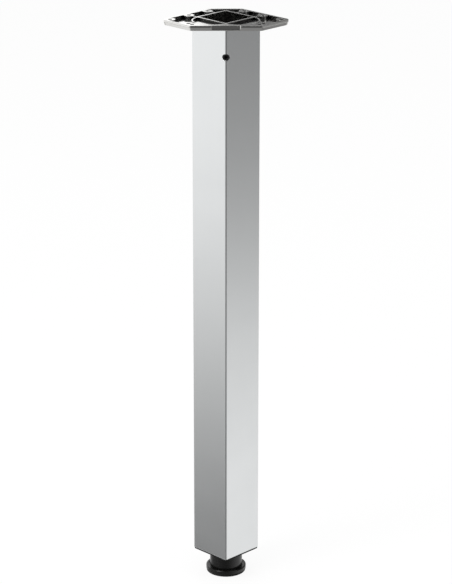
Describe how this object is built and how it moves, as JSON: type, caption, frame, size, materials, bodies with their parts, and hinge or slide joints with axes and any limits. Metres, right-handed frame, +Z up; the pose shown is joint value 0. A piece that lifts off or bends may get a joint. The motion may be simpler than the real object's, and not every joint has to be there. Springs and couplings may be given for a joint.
{
  "type": "height adjustable table leg",
  "caption": "Square metal table leg with a die-cast screw-on top plate, a corner clamp screw and a round screw foot that sets the height.",
  "frame": {"origin": "centre of the glide pad's underside, on the floor, with the foot set as in the picture", "axes": "+Z up along the tube; X and Y along the tube's sides; the clamp screw is in the tube's (-X, -Y) corner"},
  "size_m": [0.111, 0.111, 0.742],
  "materials": {
    "tube": "satin",
    "top_plate": "bright die-cast",
    "clamp_screw": "black oxide",
    "end_cap": "moulded",
    "spindle_nut": "zinc-plated",
    "foot_spindle": "zinc-plated",
    "foot": "smooth moulded",
    "glide_pad": "moulded"
  },
  "bodies": {
    "leg": {"tube": "tube", "top_plate": "top_plate", "clamp_screw": "clamp_screw", "end_cap": "end_cap", "spindle_nut": "spindle_nut"},
    "glide": {"glide_pad": "glide_pad"},
    "foot": {"foot": "foot", "foot_spindle": "foot_spindle"}
  },
  "joints": [
    {"name": "foot_height", "type": "slide", "parent": "leg", "child": "glide", "axis": [0, 0, 1], "range_m": [-0.009, 0.022]},
    {"name": "foot_turn", "type": "hinge", "parent": "glide", "child": "foot", "pos_m": [0, 0, 0], "axis": [0, 0, 1], "range_deg": [-2160, 5280]}
  ],
  "couplings": [
    {"joint": "foot_height", "follows": "foot_turn", "m_per_rad": 0.00023873}
  ]
}
